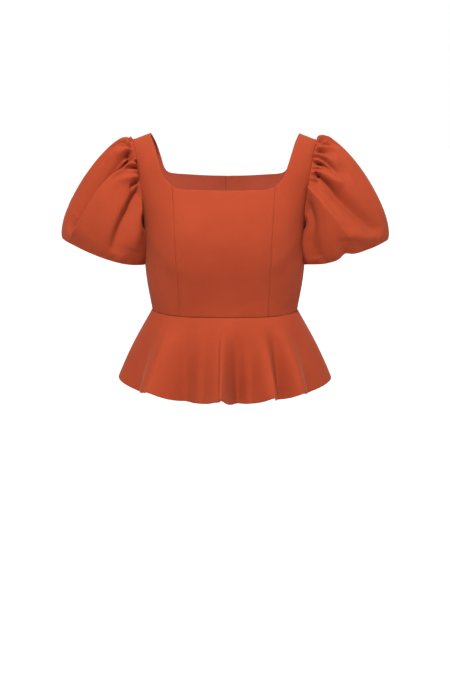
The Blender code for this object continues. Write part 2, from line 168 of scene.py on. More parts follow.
def evenly(line, count):
    """An edge of (angle, height) points, read again at equal lengths of cloth."""
    steps = np.linalg.norm(np.diff(on_figure(line[:, 0], line[:, 1]), axis=0), axis=1)
    run = np.concatenate([[0], np.cumsum(steps)])
    at = np.linspace(0, run[-1], count)
    return np.stack([np.interp(at, run, line[:, 0]), np.interp(at, run, line[:, 1])], 1)


def neck_edge(edge, back=False):
    """The neckline from the centre to the shoulder, as (angle, height) points."""
    walked = np.linspace(0, 1, 200)
    steps = np.hypot(np.diff(edge["across"]), np.diff(edge["height"]))
    run = np.concatenate([[0], np.cumsum(steps)]) / steps.sum()
    across, height = (through(run, edge[name], walked) for name in ("across", "height"))
    return np.stack([angle_at(across, height, back), height], 1)


def patch(bottom, top, inner, outer, across):
    """A grid of (angle, height) between four edges, with rows rising and columns going outwards."""
    across = across[None, :, None]
    up = np.linspace(0, 1, len(inner))[:, None, None]
    sides = (1 - across) * inner[:, None] + across * outer[:, None]
    ends = (1 - up) * bottom[None] + up * top[None]
    low = (1 - across) * bottom[0] + across * bottom[-1]
    high = (1 - across) * top[0] + across * top[-1]
    return sides + ends - (1 - up) * low - up * high


def waist_edge(start, end, across):
    """The waist seam between two angles, as (angle, height) points."""
    angle = start + (end - start) * across
    return np.stack([angle, waist_height(angle)], 1)


def mirrored(grid):
    """The grid on the other side of the wearer."""
    return grid[:, ::-1] * (-1, 1, 1)


def panel_seam(count):
    """The front's sewn line from waist to neckline."""
    top = neck_edge(NECK_FRONT)
    foot = angle_at(PANEL_SEAM["across"][0], WAIST_FRONT)
    height = np.linspace(float(waist_height(foot)), -88.0, count)
    across = through(PANEL_SEAM["height"], PANEL_SEAM["across"], height)
    line = np.stack([angle_at(across, height), height], 1)
    line[-1] = top[np.abs(top[:, 0] - line[-1, 0]).argmin()]
    return line


def hexed(code):
    """A linear colour from its sRGB hex value."""
    parts = [int(code[i : i + 2], 16) / 255 for i in (1, 3, 5)]
    return [c / 12.92 if c <= 0.04045 else ((c + 0.055) / 1.055) ** 2.4 for c in parts] + [1.0]


def add_node(tree, kind, links=(), **settings):
    """A shader node with its settings and its incoming links, given as (input, output) pairs."""
    made = tree.nodes.new(kind)
    for name, value in settings.items():
        if hasattr(made, name):
            setattr(made, name, value)
        else:
            made.inputs[name.replace("_", " ")].default_value = value
    for socket, source in links:
        tree.links.new(source, made.inputs[socket])
    return made


def polyester_crepe(name, light, dark, sheen):
    """Crepe woven from hard-twisted yarn: matt, finely pebbled, and unevenly taken by the dye."""
    made = bpy.data.materials.new(name)
    made.use_nodes = True
    tree = made.node_tree
    shader = tree.nodes["Principled BSDF"]
    place = add_node(tree, "ShaderNodeTexCoord").outputs["Object"]
    # Unevenness of the dye over a hand's breadth
    cloud = add_node(tree, "ShaderNodeTexNoise", [("Vector", place)], Scale=14.0, Detail=3.0)
    # The pebbled face. Real crepe has about 25 threads to the centimetre; it is drawn at 0.9 mm
    pebble = add_node(
        tree, "ShaderNodeTexNoise", [("Vector", place)], Scale=1100.0, Detail=2.0, Roughness=0.6
    )
    yarn = add_node(tree, "ShaderNodeTexVoronoi", [("Vector", place)], Scale=1300.0)
    mixed = add_node(
        tree,
        "ShaderNodeMath",
        [(0, cloud.outputs["Fac"]), (1, pebble.outputs["Fac"])],
        operation="ADD",
    )
    ramp = add_node(
        tree, "ShaderNodeMapRange", [("Value", mixed.outputs[0])], From_Min=0.75, From_Max=1.25
    )
    tone = add_node(tree, "ShaderNodeMix", [("Factor", ramp.outputs[0])], data_type="RGBA")
    tone.inputs[6].default_value = hexed(dark)
    tone.inputs[7].default_value = hexed(light)
    tree.links.new(tone.outputs[2], shader.inputs["Base Color"])
    grain = add_node(
        tree,
        "ShaderNodeMath",
        [(0, pebble.outputs["Fac"]), (1, yarn.outputs["Distance"])],
        operation="ADD",
    )
    bump = add_node(
        tree, "ShaderNodeBump", [("Height", grain.outputs[0])], Strength=0.35, Distance=0.00025
    )
    tree.links.new(bump.outputs[0], shader.inputs["Normal"])
    shader.inputs["Roughness"].default_value = 0.9
    shader.inputs["Specular IOR Level"].default_value = 0.1
    shader.inputs["Sheen Weight"].default_value = sheen
    shader.inputs["Sheen Roughness"].default_value = 0.45
    shader.inputs["Sheen Tint"].default_value = hexed("#F0A070")
    return made


crepe_face = polyester_crepe("crepe_face", "#80301A", "#792C16", 0.06)
crepe_wrong_side = polyester_crepe("crepe_wrong_side", "#8E3C29", "#863725", 0.03)

LIP_STEPS = np.array([0.4, 0.9, 1.6, 2.6])
LIP_SINK = np.array([0.75, 0.42, 0.16, 0.04])
TURN_IN = 3.0


def edge_first(grid, seam):
    """The grid turned so that the named seam is its first row, or turned back again."""
    if seam in ("inner", "outer"):
        grid = grid.swapaxes(0, 1)
    return grid[::-1] if seam in ("top", "outer") else grid


def edge_back(grid, seam):
    """The opposite of edge_first."""
    grid = grid[::-1] if seam in ("top", "outer") else grid
    return grid.swapaxes(0, 1) if seam in ("inner", "outer") else grid


def lipped(grid, seams):
    """The grid with close lines beside each seam, and how far the cloth sinks into it there."""
    sink = np.zeros(grid.shape[:2])
    for seam, depth in seams.items():
        grid, sink = edge_first(grid, seam), edge_first(sink, seam)
        while np.linalg.norm(grid[1] - grid[0], axis=1).mean() < 3.2:
            grid, sink = np.delete(grid, 1, 0), np.delete(sink, 1, 0)
        inward = grid[1] - grid[0]
        inward /= np.linalg.norm(inward, axis=1)[:, None]
        beside = grid[0] + inward * LIP_STEPS[:, None, None]
        sunk = np.maximum(depth * LIP_SINK[:, None], sink[0])
        grid = np.concatenate([grid[:1], beside, grid[1:]])
        sink = np.concatenate([np.maximum(sink[:1], depth * 0.95), sunk, sink[1:]])
        grid, sink = edge_back(grid, seam), edge_back(sink, seam)
    return grid, sink


def normals(grid):
    """Outward directions of a grid of points."""
    facing = np.cross(np.gradient(grid, axis=1), np.gradient(grid, axis=0))
    return facing / np.linalg.norm(facing, axis=2)[:, :, None]


def sewn(grid, seams, height=0.0):
    """The panel's cloth, raised by height, sunk into its seams and turned in along them."""
    grid = grid + normals(grid) * (np.zeros(grid.shape[:2]) + height)[:, :, None]
    grid, sink = lipped(grid, seams)
    inward = -normals(grid)
    grid = grid + inward * sink[:, :, None]
    for seam, depth in seams.items():
        if depth == 1:
            grid, inward = edge_first(grid, seam), edge_first(inward, seam)
            grid = np.concatenate([grid[:1] + inward[:1] * TURN_IN, grid])
            inward = np.concatenate([inward[:1], inward])
            grid, inward = edge_back(grid, seam), edge_back(inward, seam)
    return grid


def crepe_piece(name, nodes, grid, around=False, smooth=1, thickness=CREPE_THICKNESS, corner=None):
    """A shell of crepe in place of its solids, with the cloth's wrong side inside."""
    rows, columns = grid.shape[:2]
    faces = []
    for row in range(rows - 1):
        for column in range(columns if around else columns - 1):
            beside = (column + 1) % columns
            here, above = row * columns, (row + 1) * columns
            faces.append((here + column, here + beside, above + beside, above + column))
    mesh = bpy.data.meshes.new(name)
    mesh.from_pydata((grid.reshape(-1, 3) * MM).tolist(), [], faces)
    mesh.polygons.foreach_set("use_smooth", [True] * len(faces))
    mesh.materials.append(crepe_face)
    mesh.materials.append(crepe_wrong_side)
    if corner is not None:
        # The corner of the neckline stays square when the cloth is smoothed
        near = np.linalg.norm(grid.reshape(-1, 3) - corner, axis=1) < 3.4
        held = mesh.attributes.new("crease_vert", "FLOAT", "POINT")
        held.data.foreach_set("value", near.astype(np.float32))
    piece = bpy.data.objects.new(name, mesh)
    bpy.context.collection.objects.link(piece)
    if smooth:
        finer = piece.modifiers.new("Smooth", "SUBSURF")
        finer.levels = finer.render_levels = smooth
        finer.boundary_smooth = "PRESERVE_CORNERS"
    thick = piece.modifiers.new("Cloth", "SOLIDIFY")
    thick.thickness = thickness * MM
    thick.offset = -1
    thick.use_quality_normals = True
    thick.material_offset = 1
    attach(piece, "root")
    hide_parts(*nodes)
    return piece


# Small pulls in the bodice: where each runs, in degrees and heights, and how it lies
PULLS = table(
    "angle height angle_end height_end width depth",
    (57, -327, 56, -335, 3, -1.52),
    (62, -323, 63, -335, 3, -1.9),
    (67, -318, 69, -335, 3, -2.09),
    (73, -321, 76, -335, 3, -1.71),
    (80, -325, 82, -335, 3, -1.52),
    (-64, -326, -66, -335, 4, -0.6),
    (-72, -322, -75, -335, 4, -0.7),
    (-80, -326, -82, -335, 4, -0.5),
    (64, -196, 42, -236, 14, 1.4),
    (-64, -192, -40, -240, 14, 1.5),
    (70, -214, 50, -262, 15, -1.2),
    (-70, -212, -52, -258, 15, -1.1),
    (38, -306, 12, -318, 9, -0.7),
    (-30, -308, -4, -320, 9, -0.6),
    (118, -196, 148, -232, 16, 1.6),
    (242, -196, 212, -236, 16, 1.5),
    (124, -232, 160, -262, 15, -1.4),
    (238, -236, 204, -262, 15, -1.4),
    (112, -300, 150, -312, 11, 1.5),
    (246, -298, 212, -314, 11, 1.5),
    (116, -322, 150, -331, 8, -1.2),
    (243, -321, 210, -330, 8, -1.2),
)


def pulls(places):
    """How far the bodice stands out at (angle, height) places."""
    total = np.zeros(places.shape[:-1])
    for a0, h0, a1, h1, width, depth in zip(*PULLS.values()):
        along = np.array([(a1 - a0) * 2.1, h1 - h0])
        turned = (places[..., 0] - a0 + 180) % 360 - 180
        away = np.stack([turned * 2.1, places[..., 1] - h0], -1)
        part = np.clip(away @ along / (along @ along), 0, 1)
        miss = np.linalg.norm(away - part[..., None] * along, axis=-1)
        total += depth * np.exp(-((miss / width) ** 2))
    return total


def bodice(places):
    """Points of the bodice at (angle, height) places."""
    return on_figure(places[:, :, 0], places[:, :, 1])


rows, columns = 43, 33
right = panel_seam(rows)
left = right * (-1, 1)
neck = neck_edge(NECK_FRONT)
half = evenly(neck[neck[:, 0] <= right[-1, 0]], (columns + 1) // 2)
half[-1] = right[-1]
top = np.concatenate([half[:0:-1] * (-1, 1), half])
across = np.linspace(0, 1, columns)
places = patch(waist_edge(left[0, 0], right[0, 0], across), top, left, right, across)
front_centre = crepe_piece(
    "front_middle_panel",
    ["bodice_front_centre"],
    sewn(bodice(places), {"bottom": 1, "top": 1, "inner": 1, "outer": 1}, pulls(places)),
)


# The front's side panels
# Each is cut in one with its shoulder strap, so that the square of the neck turns inside the
# piece. It is sewn to the middle panel, to the back at the side and shoulder, and to the sleeve.

UNDERARM = -190.0
ARMHOLE_TURN = -147.0


# Armhole from its turn under the arm up to the strap's top
ARMHOLE_EDGE = table(
    "height across",
    (ARMHOLE_TURN, 152.0),
    (-123, 154.0),
    (-98, 157.5),
    (-78, 161.0),
    (-55, 165.0),
    (-36, 168.5),
    (-SHOULDER_DROP, STRAP_OUTER),
)


def armhole_edge(back=False):
    """The armhole from the underarm to the shoulder, as (angle, height) points."""
    height = np.linspace(ARMHOLE_TURN, -SHOULDER_DROP, 120)
    across = through(ARMHOLE_EDGE["height"], ARMHOLE_EDGE["across"], height)
    upper = np.stack([angle_at(across, height, back), height], 1)
    hollow = np.radians(np.linspace(90, 0, 60, endpoint=False))
    lower = np.stack(
        [
            90 + (upper[0, 0] - 90) * np.cos(hollow) ** 1.5,
            ARMHOLE_TURN + (UNDERARM - ARMHOLE_TURN) * np.sin(hollow) ** 1.5,
        ],
        1,
    )
    return np.concatenate([lower, upper])


def to_shoulder(line, count):
    """An even edge that ends with a short step, so that the cloth comes level to the shoulder seam."""
    edge = evenly(line, count)
    short = evenly(line, 121)[-2]
    return np.concatenate([edge[:-1], short[None], edge[-1:]])


def strap_top(part, back=False):
    """The shoulder seam, from the neckline out to the armhole."""
    across = STRAP_INNER + (STRAP_OUTER - STRAP_INNER) * part
    height = shoulder_line(across)
    return np.stack([angle_at(across, height, back), height], 1)


def side_places(inner_low, neck, back, low, middle, high, columns):
    """The places of a side panel between its inner edge, the neckline and the armhole."""
    inner = np.concatenate([inner_low, to_shoulder(neck, high)[1:]])
    side = np.stack([np.full(low, 90.0), np.linspace(WAIST_SIDE, UNDERARM, low)], 1)
    hole = to_shoulder(armhole_edge(back), middle + high)
    outer = np.concatenate([side, hole[1:]])
    across = np.linspace(0, 1, columns)
    foot = waist_edge(inner[0, 0], 90, across)
    return patch(foot, strap_top(across, back), inner, outer, across)


seam = panel_seam(39)
neck = neck_edge(NECK_FRONT)
beyond = np.concatenate([seam[-1:], neck[neck[:, 0] > seam[-1, 0] + 0.01]])
for side, turn in (("left", 1), ("right", -1)):
    places = side_places(seam, beyond, False, 27, 12, 30, 17)
    lifted = pulls(places * (turn, 1))
    grid = sewn(bodice(places), {"bottom": 1, "top": 1, "inner": 1, "outer": 1}, lifted)
    panel = crepe_piece(
        f"front_side_panel_{side}",
        [f"bodice_front_{side}"],
        grid if turn > 0 else mirrored(grid),
        corner=on_figure(*seam[-1]) * (turn, 1, 1),
    )


# The back
# Two halves that meet in a seam down the middle, each with its strap, cut square at the neck
# like the front. The same crepe, with a little slack above the waist.

NECK_BACK = table(
    "across height",
    (0, -94.5),
    (45, -93.4),
    (80, -90.6),
    (100, -88.8),
    (110, -87.0),
    (117, -82.5),
    (121.5, -74.0),
    (124.5, -62.0),
    (129.5, -43.0),
    (135, -22.0),
    (139.5, -8.5),
    (STRAP_INNER, 0.0),
)
neck = neck_edge(NECK_BACK, back=True)
centre = np.stack([np.full(39, 180.0), np.linspace(WAIST_BACK, neck[0, 1], 39)], 1)
for side, turn in (("left", 1), ("right", -1)):
    places = side_places(centre, neck, True, 27, 12, 30, 25)
    lifted = pulls(places * (turn, 1))
    seams = {"bottom": 1, "top": 1, "inner": 1}
    grid = sewn(bodice(places)[:, ::-1], seams, lifted[:, ::-1])
    panel = crepe_piece(
        f"back_half_{side}",
        [f"bodice_back_{side}"],
        grid if turn > 0 else mirrored(grid),
        corner=on_figure(*centre[-1]) * (turn, 1, 1),
    )


# The peplum
# Front and back are cut from parts of a ring, so the hem is much longer than the waist seam and
# falls into soft flutes. The hem is turned up and blind-stitched inside.

PEPLUM_FRONT = 164.0
PEPLUM_SIDE = 153.0
PEPLUM_BACK = 160.0
FLARE_AT_WAIST = 30.0
FLARE_AT_HEM = 19.0


# The flutes, as places round the waist and how many degrees the flare is turned out there
FLUTES = table(
    "angle turn",
    (-90, 2.5),
    (-69, -7.0),
    (-57, 8.0),
    (-54, 12.5),
    (-35.5, -15.5),
    (-20, -4.5),
    (-4.4, 7.5),
    (-2.0, 14.0),
    (14.5, -18.0),
    (25, -9.0),
    (39, 10.0),
    (48, -12.5),
    (57, 8.0),
    (69, -7.0),
    (90, 2.5),
    (112, -7.0),
    (128, 5.5),
    (134, 6.0),
    (152, -6.0),
    (173, 6.5),
    (177, 5.0),
    (192, -7.0),
    (216, 6.0),
    (221, 5.0),
    (243, -6.5),
)


def waves(stations, values, at, period):
    """A soft wave that runs level through each value at its station and repeats after period."""
    stations = np.concatenate([stations - period, stations, stations + period])
    values = np.tile(values, 3)
    low = np.clip(np.searchsorted(stations, at) - 1, 0, len(stations) - 2)
    share = (at - stations[low]) / (stations[low + 1] - stations[low])
    share = np.clip(share, 0, 1)
    return values[low] + (values[low + 1] - values[low]) * share * share * (3 - 2 * share)


def peplum(start, end, between=4, rows=8):
    """A panel of the peplum, whose flutes open from nothing at the waist seam to the hem."""
    marks = FLUTES["angle"]
    marks = np.unique(np.concatenate([marks - 360, marks, marks + 360, [start, end]]))
    marks = marks[(marks >= start) & (marks <= end)]
    steps = np.linspace(0, 1, between, endpoint=False)
    angle = np.concatenate([a + (b - a) * steps for a, b in zip(marks, marks[1:])] + [[end]])
    angle = np.sort(np.concatenate([angle, [start + 1, end - 1]]))
    turn = waves(FLUTES["angle"], FLUTES["turn"], angle, 360.0)

    folded = (angle + 180) % 360 - 180
    foot = on_figure(folded, waist_height(folded))
    ahead = (angle + 1 + 180) % 360 - 180
    along = on_figure(ahead, waist_height(ahead)) - foot
    outward = np.stack([along[:, 1], -along[:, 0]], 1)
    outward /= np.linalg.norm(outward, axis=1)[:, None]

    run = np.linspace(0, 1, 41)
    opened = np.clip(run / 0.3, 0, 1)
    opened = opened * opened * (3 - 2 * opened)
    flare = FLARE_AT_WAIST + (FLARE_AT_HEM - FLARE_AT_WAIST) * run
    flare = np.radians(flare[:, None] + turn[None] * opened[:, None])
    longest = np.where(np.abs(folded) <= 90, PEPLUM_FRONT, PEPLUM_BACK)
    step = PEPLUM_SIDE + (longest - PEPLUM_SIDE) * np.cos(np.radians(folded)) ** 2
    step = step / 40
    out = np.concatenate([np.zeros((1, len(angle))), np.cumsum(np.sin(flare[1:]) * step, 0)])
    down = np.concatenate([np.zeros((1, len(angle))), np.cumsum(np.cos(flare[1:]) * step, 0)])

    take = np.round(np.linspace(0, 40, rows)).astype(int)[::-1]
    out, down = out[take], down[take]
    flat = foot[None, :, :2] + outward[None] * out[:, :, None]
    height = foot[None, :, 2] - down - SEAM_GAP
    return np.concatenate([flat, height[:, :, None]], 2)


for part, start, end in (("front", -90, 90), ("back", 90, 270)):
    grid = peplum(start, end, between=14, rows=34)
    piece = crepe_piece(
        f"peplum_{part}_panel",
        [f"peplum_{part}"],
        sewn(grid, {"bottom": 1, "top": 1, "inner": 1, "outer": 1}),
        smooth=0,
    )


# The puff sleeves
# Each is cut far wider than the armhole and drawn up into close gathers over its head. The lower
# edge is turned under and gathered into a narrow band inside, so the sleeve ends in a soft roll.

HEM_MIDDLE = (236.5, 4.0, -225.5)
HEM_TILT = 17.5
HEM_ACROSS = 82.0
HEM_DEPTH = 74.0
HEM_ROLL = 6.0
BAND_ACROSS = 55.0
BAND_DEPTH = 51.0
BAND_RISE = 24.0
BAND_HEIGHT = 18.0
FOLD_HEIGHT = 1.65
# The cloth of a puff, round it and down it, by which the creases' places are measured
SLEEVE_ROUND = 520
SLEEVE_LONG = 215


def round_trip(shares, values, at):
    """The same smooth curve on a closed loop, with shares from 0 up to but not including 1."""
    shares, values = np.asarray(shares, float), np.asarray(values, float)
    stations = np.concatenate([shares - 1, shares, shares + 1])
    return through(stations, np.tile(values, 3), np.mod(at, 1.0))


# How the cloth leaves the armhole and comes to the hem
PUFF = table(
    "share outward lifted leaving arriving tucked",
    (0.0, 0.78, 0.64, 160.0, 172.0, 28.0),
    (0.12, 0.72, 0.66, 140.0, 175.0, 30.0),
    (0.25, 0.66, 0.66, 105.0, 180.0, 34.0),
    (0.38, 0.75, 0.40, 75.0, 110.0, 30.0),
    (0.50, 0.90, 0.15, 40.0, 50.0, 20.0),
    (0.62, 0.75, 0.40, 75.0, 110.0, 30.0),
    (0.75, 0.66, 0.66, 105.0, 180.0, 34.0),
    (0.88, 0.72, 0.66, 140.0, 175.0, 30.0),
)
# Gathers at the head of the sleeve, from the back over the shoulder to the front
GATHERS = table(
    "share depth length",
    (-0.215, 1.6, 0.14),
    (-0.192, 2.3, 0.20),
    (-0.168, 2.6, 0.26),
    (-0.141, 3.0, 0.22),
    (-0.113, 3.1, 0.30),
    (-0.087, 2.8, 0.24),
    (-0.061, 3.2, 0.30),
    (-0.034, 2.9, 0.25),
    (-0.008, 3.0, 0.22),
    (0.019, 3.3, 0.30),
    (0.044, 2.7, 0.22),
    (0.069, 3.2, 0.32),
    (0.096, 3.0, 0.24),
    (0.121, 3.2, 0.30),
    (0.147, 2.8, 0.22),
    (0.172, 2.5, 0.26),
    (0.196, 2.1, 0.20),
    (0.219, 1.5, 0.14),
)
# How far the rolled hem of each puff hangs below its middle plane
SWAGS_RIGHT = table(
    "share drop",
    (0.0, 0.0),
    (0.06, -2.0),
    (0.13, -3.5),
    (0.20, -2.0),
    (0.30, 1.0),
    (0.37, 2.5),
    (0.45, 0.5),
    (0.50, 0.0),
    (0.62, 1.5),
    (0.75, -2.0),
    (0.87, 1.0),
)
SWAGS_LEFT = table(
    "share drop",
    (0.0, 0.0),
    (0.08, -3.0),
    (0.17, -4.0),
    (0.235, -6.0),
    (0.262, -10.5),
    (0.29, -3.5),
    (0.33, -0.5),
    (0.42, -1.5),
    (0.50, 0.0),
    (0.60, 1.0),
    (0.72, -2.5),
    (0.86, 1.0),
)


def armhole_loop(share):
    """Points of the armhole's edge at shares of the way round."""
    halves = []
    for back in (False, True):
        line = evenly(armhole_edge(back), 121)[::-1]
        halves.append(on_figure(line[:, 0], line[:, 1]))
    loop = np.concatenate([halves[0], halves[1][::-1][1:]])
    at = np.mod(share, 1.0)
    return np.stack([np.interp(at, np.linspace(0, 1, 241), loop[:, i]) for i in range(3)], -1)


# The creases of each puff: the height and reach on the side nearer the body, the same on the other
# side, the sharpness, and the places it runs through, as shares round the sleeve and down it
CREASES_RIGHT = (
    (
        4.5, 16, -3.5, 11, 1.4,
        (0.0, 0.02), (0.048, 0.13), (0.038, 0.24), (0.026, 0.36), (0.025, 0.54),
    ),
    (3.0, 6, 3.0, 6, 1.5, (0.073, 0.0), (0.077, 0.18), (0.07, 0.26)),
    (-3.5, 5, -3.5, 5, 2.0, (0.092, 0.0), (0.094, 0.16)),
    (
        8.5, 24, -23.0, 30, 1.2,
        (0.12, 0.04), (0.142, 0.2), (0.142, 0.35), (0.145, 0.5), (0.15, 0.64),
        (0.147, 0.78), (0.117, 0.93),
    ),
    (-4.0, 5, -4.0, 5, 2.0, (0.158, 0.0), (0.16, 0.2), (0.158, 0.31)),
    (3.5, 7, 3.5, 6, 1.5, (0.185, 0.0), (0.185, 0.17), (0.173, 0.29)),
    (-5.0, 6, -5.0, 6, 2.0, (0.21, 0.0), (0.215, 0.13), (0.223, 0.19)),
    (
        -10.0, 18, -10.0, 8, 1.7,
        (0.243, 0.02), (0.257, 0.19), (0.27, 0.3), (0.277, 0.49), (0.282, 0.69),
        (0.29, 0.9),
    ),
    (5.0, 16, 5.0, 13, 2.0, (0.30, 0.05), (0.325, 0.1), (0.343, 0.39), (0.34, 0.75)),
    (-6.0, 14, -6.0, 14, 2.0, (0.94, 0.04), (0.925, 0.3), (0.91, 0.62)),
    (7.5, 14, 7.5, 9, 1.5, (0.885, 0.05), (0.872, 0.4), (0.862, 0.85)),
    (-8.0, 13, -8.0, 16, 1.9, (0.82, 0.06), (0.815, 0.35), (0.832, 0.8)),
    (6.5, 10, 6.5, 16, 1.5, (0.765, 0.05), (0.752, 0.4), (0.738, 0.75)),
    (-6.0, 18, -6.0, 15, 2.0, (0.69, 0.1), (0.687, 0.45), (0.70, 0.85)),
)
CREASES_LEFT = (
    (2.5, 7, 2.5, 7, 1.6, (-0.01, 0.0), (0.022, 0.10), (0.012, 0.19)),
    (-4.5, 5, -4.5, 5, 2.0, (0.03, 0.0), (0.046, 0.12), (0.03, 0.23)),
    (4.0, 10, 2.0, 6, 1.4, (0.052, 0.0), (0.058, 0.14), (0.045, 0.24), (0.025, 0.31)),
    (-5.5, 7, -5.5, 7, 2.0, (0.078, 0.0), (0.082, 0.14), (0.068, 0.26)),
    (5.0, 8, 5.0, 7, 1.5, (0.112, 0.0), (0.108, 0.17), (0.094, 0.32)),
    (-6.5, 8, -6.5, 8, 2.0, (0.132, 0.0), (0.131, 0.15), (0.125, 0.30), (0.11, 0.40)),
    (6.5, 9, 6.5, 9, 1.5, (0.158, 0.0), (0.172, 0.15), (0.165, 0.27), (0.143, 0.42)),
    (
        -14.0, 14, -14.0, 16, 1.8,
        (0.175, 0.02), (0.188, 0.14), (0.19, 0.23), (0.192, 0.38), (0.178, 0.54),
        (0.16, 0.68), (0.13, 0.82), (0.10, 0.92),
    ),
    (-4.0, 6, -4.0, 5, 2.0, (0.205, 0.0), (0.207, 0.10)),
    (
        7.5, 22, 1.0, 8, 1.2,
        (0.223, 0.0), (0.233, 0.17), (0.235, 0.35), (0.233, 0.53), (0.228, 0.65),
        (0.223, 0.82),
    ),
    (4.5, 10, 4.5, 12, 2.0, (0.215, 0.78), (0.178, 0.88), (0.10, 0.94)),
    (3.0, 12, 3.0, 12, 2.0, (0.045, 0.36), (0.057, 0.55), (0.052, 0.68), (0.043, 0.85)),
    (-5.0, 16, -5.0, 16, 2.0, (0.31, 0.12), (0.363, 0.55), (0.365, 0.9)),
    (-6.5, 13, -6.5, 14, 2.0, (0.945, 0.04), (0.935, 0.35), (0.92, 0.7)),
    (6.5, 12, 6.5, 9, 1.5, (0.897, 0.04), (0.88, 0.3), (0.87, 0.65)),
    (-8.0, 15, -8.0, 15, 1.8, (0.84, 0.06), (0.828, 0.4), (0.822, 0.85)),
    (7.0, 9, 7.0, 16, 1.4, (0.775, 0.04), (0.763, 0.4), (0.76, 0.8)),
    (-6.0, 16, -6.0, 18, 2.0, (0.70, 0.1), (0.704, 0.4), (0.72, 0.75)),
)


def sleeve_columns():
    """Places round the sleeve: ten to each gather, and wider apart under the arm."""
    crests = GATHERS["share"]
    fine = np.concatenate([a + (b - a) * np.arange(10) / 10 for a, b in zip(crests, crests[1:])])
    under = np.linspace(crests[-1], crests[0] + 1, 126)[:-1]
    return np.concatenate([fine, under])


def gathers(share, down):
    """The height of the gathered cloth above the puff."""
    crests = GATHERS["share"]
    troughs = (crests[1:] + crests[:-1]) / 2
    stations = np.sort(np.concatenate([crests, troughs, [crests[0] - 0.02, crests[-1] + 0.02]]))
    depth = np.interp(stations, crests, GATHERS["depth"]) * -0.8
    depth[1:-1:2] *= -1.25
    depth[[0, -1]] = 0
    length = np.interp(np.mod(share + 0.5, 1) - 0.5, crests, GATHERS["length"])
    wave = waves(stations, depth, np.mod(share + 0.5, 1) - 0.5, 1.0)
    return wave * (1 - np.exp(-down / 0.035)) * np.exp(-((down / length) ** 2))


def creases(share, down, lines):
    """The height of the creases above the puff."""
    total = np.zeros(np.broadcast(share, down).shape)
    for high, beyond, low, before, sharpness, *points in lines:
        points = np.array(points) * (SLEEVE_ROUND, SLEEVE_LONG)
        steps = np.diff(points, axis=0)
        lengths = np.linalg.norm(steps, axis=1)
        run = np.concatenate([[0], np.cumsum(lengths)])
        nearest = np.full(total.shape, np.inf)
        signed = np.zeros(total.shape)
        part = np.zeros(total.shape)
        for point, step, length, start in zip(points, steps, lengths, run):
            right = (np.mod(share - point[0] / SLEEVE_ROUND + 0.5, 1) - 0.5) * SLEEVE_ROUND
            below = down * SLEEVE_LONG - point[1]
            along = np.clip((right * step[0] + below * step[1]) / length**2, 0, 1)
            miss = np.hypot(right - along * step[0], below - along * step[1])
            side = step[0] * below - step[1] * right
            closer = miss < nearest
            nearest = np.where(closer, miss, nearest)
            signed = np.where(closer, -side / length, signed)
            part = np.where(closer, (start + along * length) / run[-1], part)
        # Each crease rises out of the seam, and dies away at its end
        fall = np.sqrt(np.sin(np.pi * (0.2 + 0.795 * part)))
        near = high * np.exp(-((np.sqrt(nearest**2 + 0.6) / beyond) ** sharpness))
        far = low * np.exp(-((np.sqrt(nearest**2 + 0.6) / before) ** sharpness))
        total += fall * (far + (near - far) * (0.5 + 0.5 * np.tanh(signed / 1.5)))
    return total


def hem_puckers(share, down, seed):
    """Small dents where the hem is drawn in to its band, uneven round the sleeve."""
    chance = np.random.default_rng(seed)
    total = np.zeros(np.broadcast(share, down).shape)
    for place in (np.arange(26) + chance.uniform(-0.35, 0.35, 26)) / 26:
        width = chance.uniform(0.007, 0.013)
        depth = chance.uniform(0.8, 2.4)
        reach = chance.uniform(0.08, 0.22)
        lean = chance.uniform(-0.08, 0.08)
        beside = np.mod(share - place + (1 - down) * lean + 0.5, 1) - 0.5
        total -= depth * np.exp(-((beside / width) ** 2)) * np.exp(-(((1 - down) / reach) ** 2))
    return total


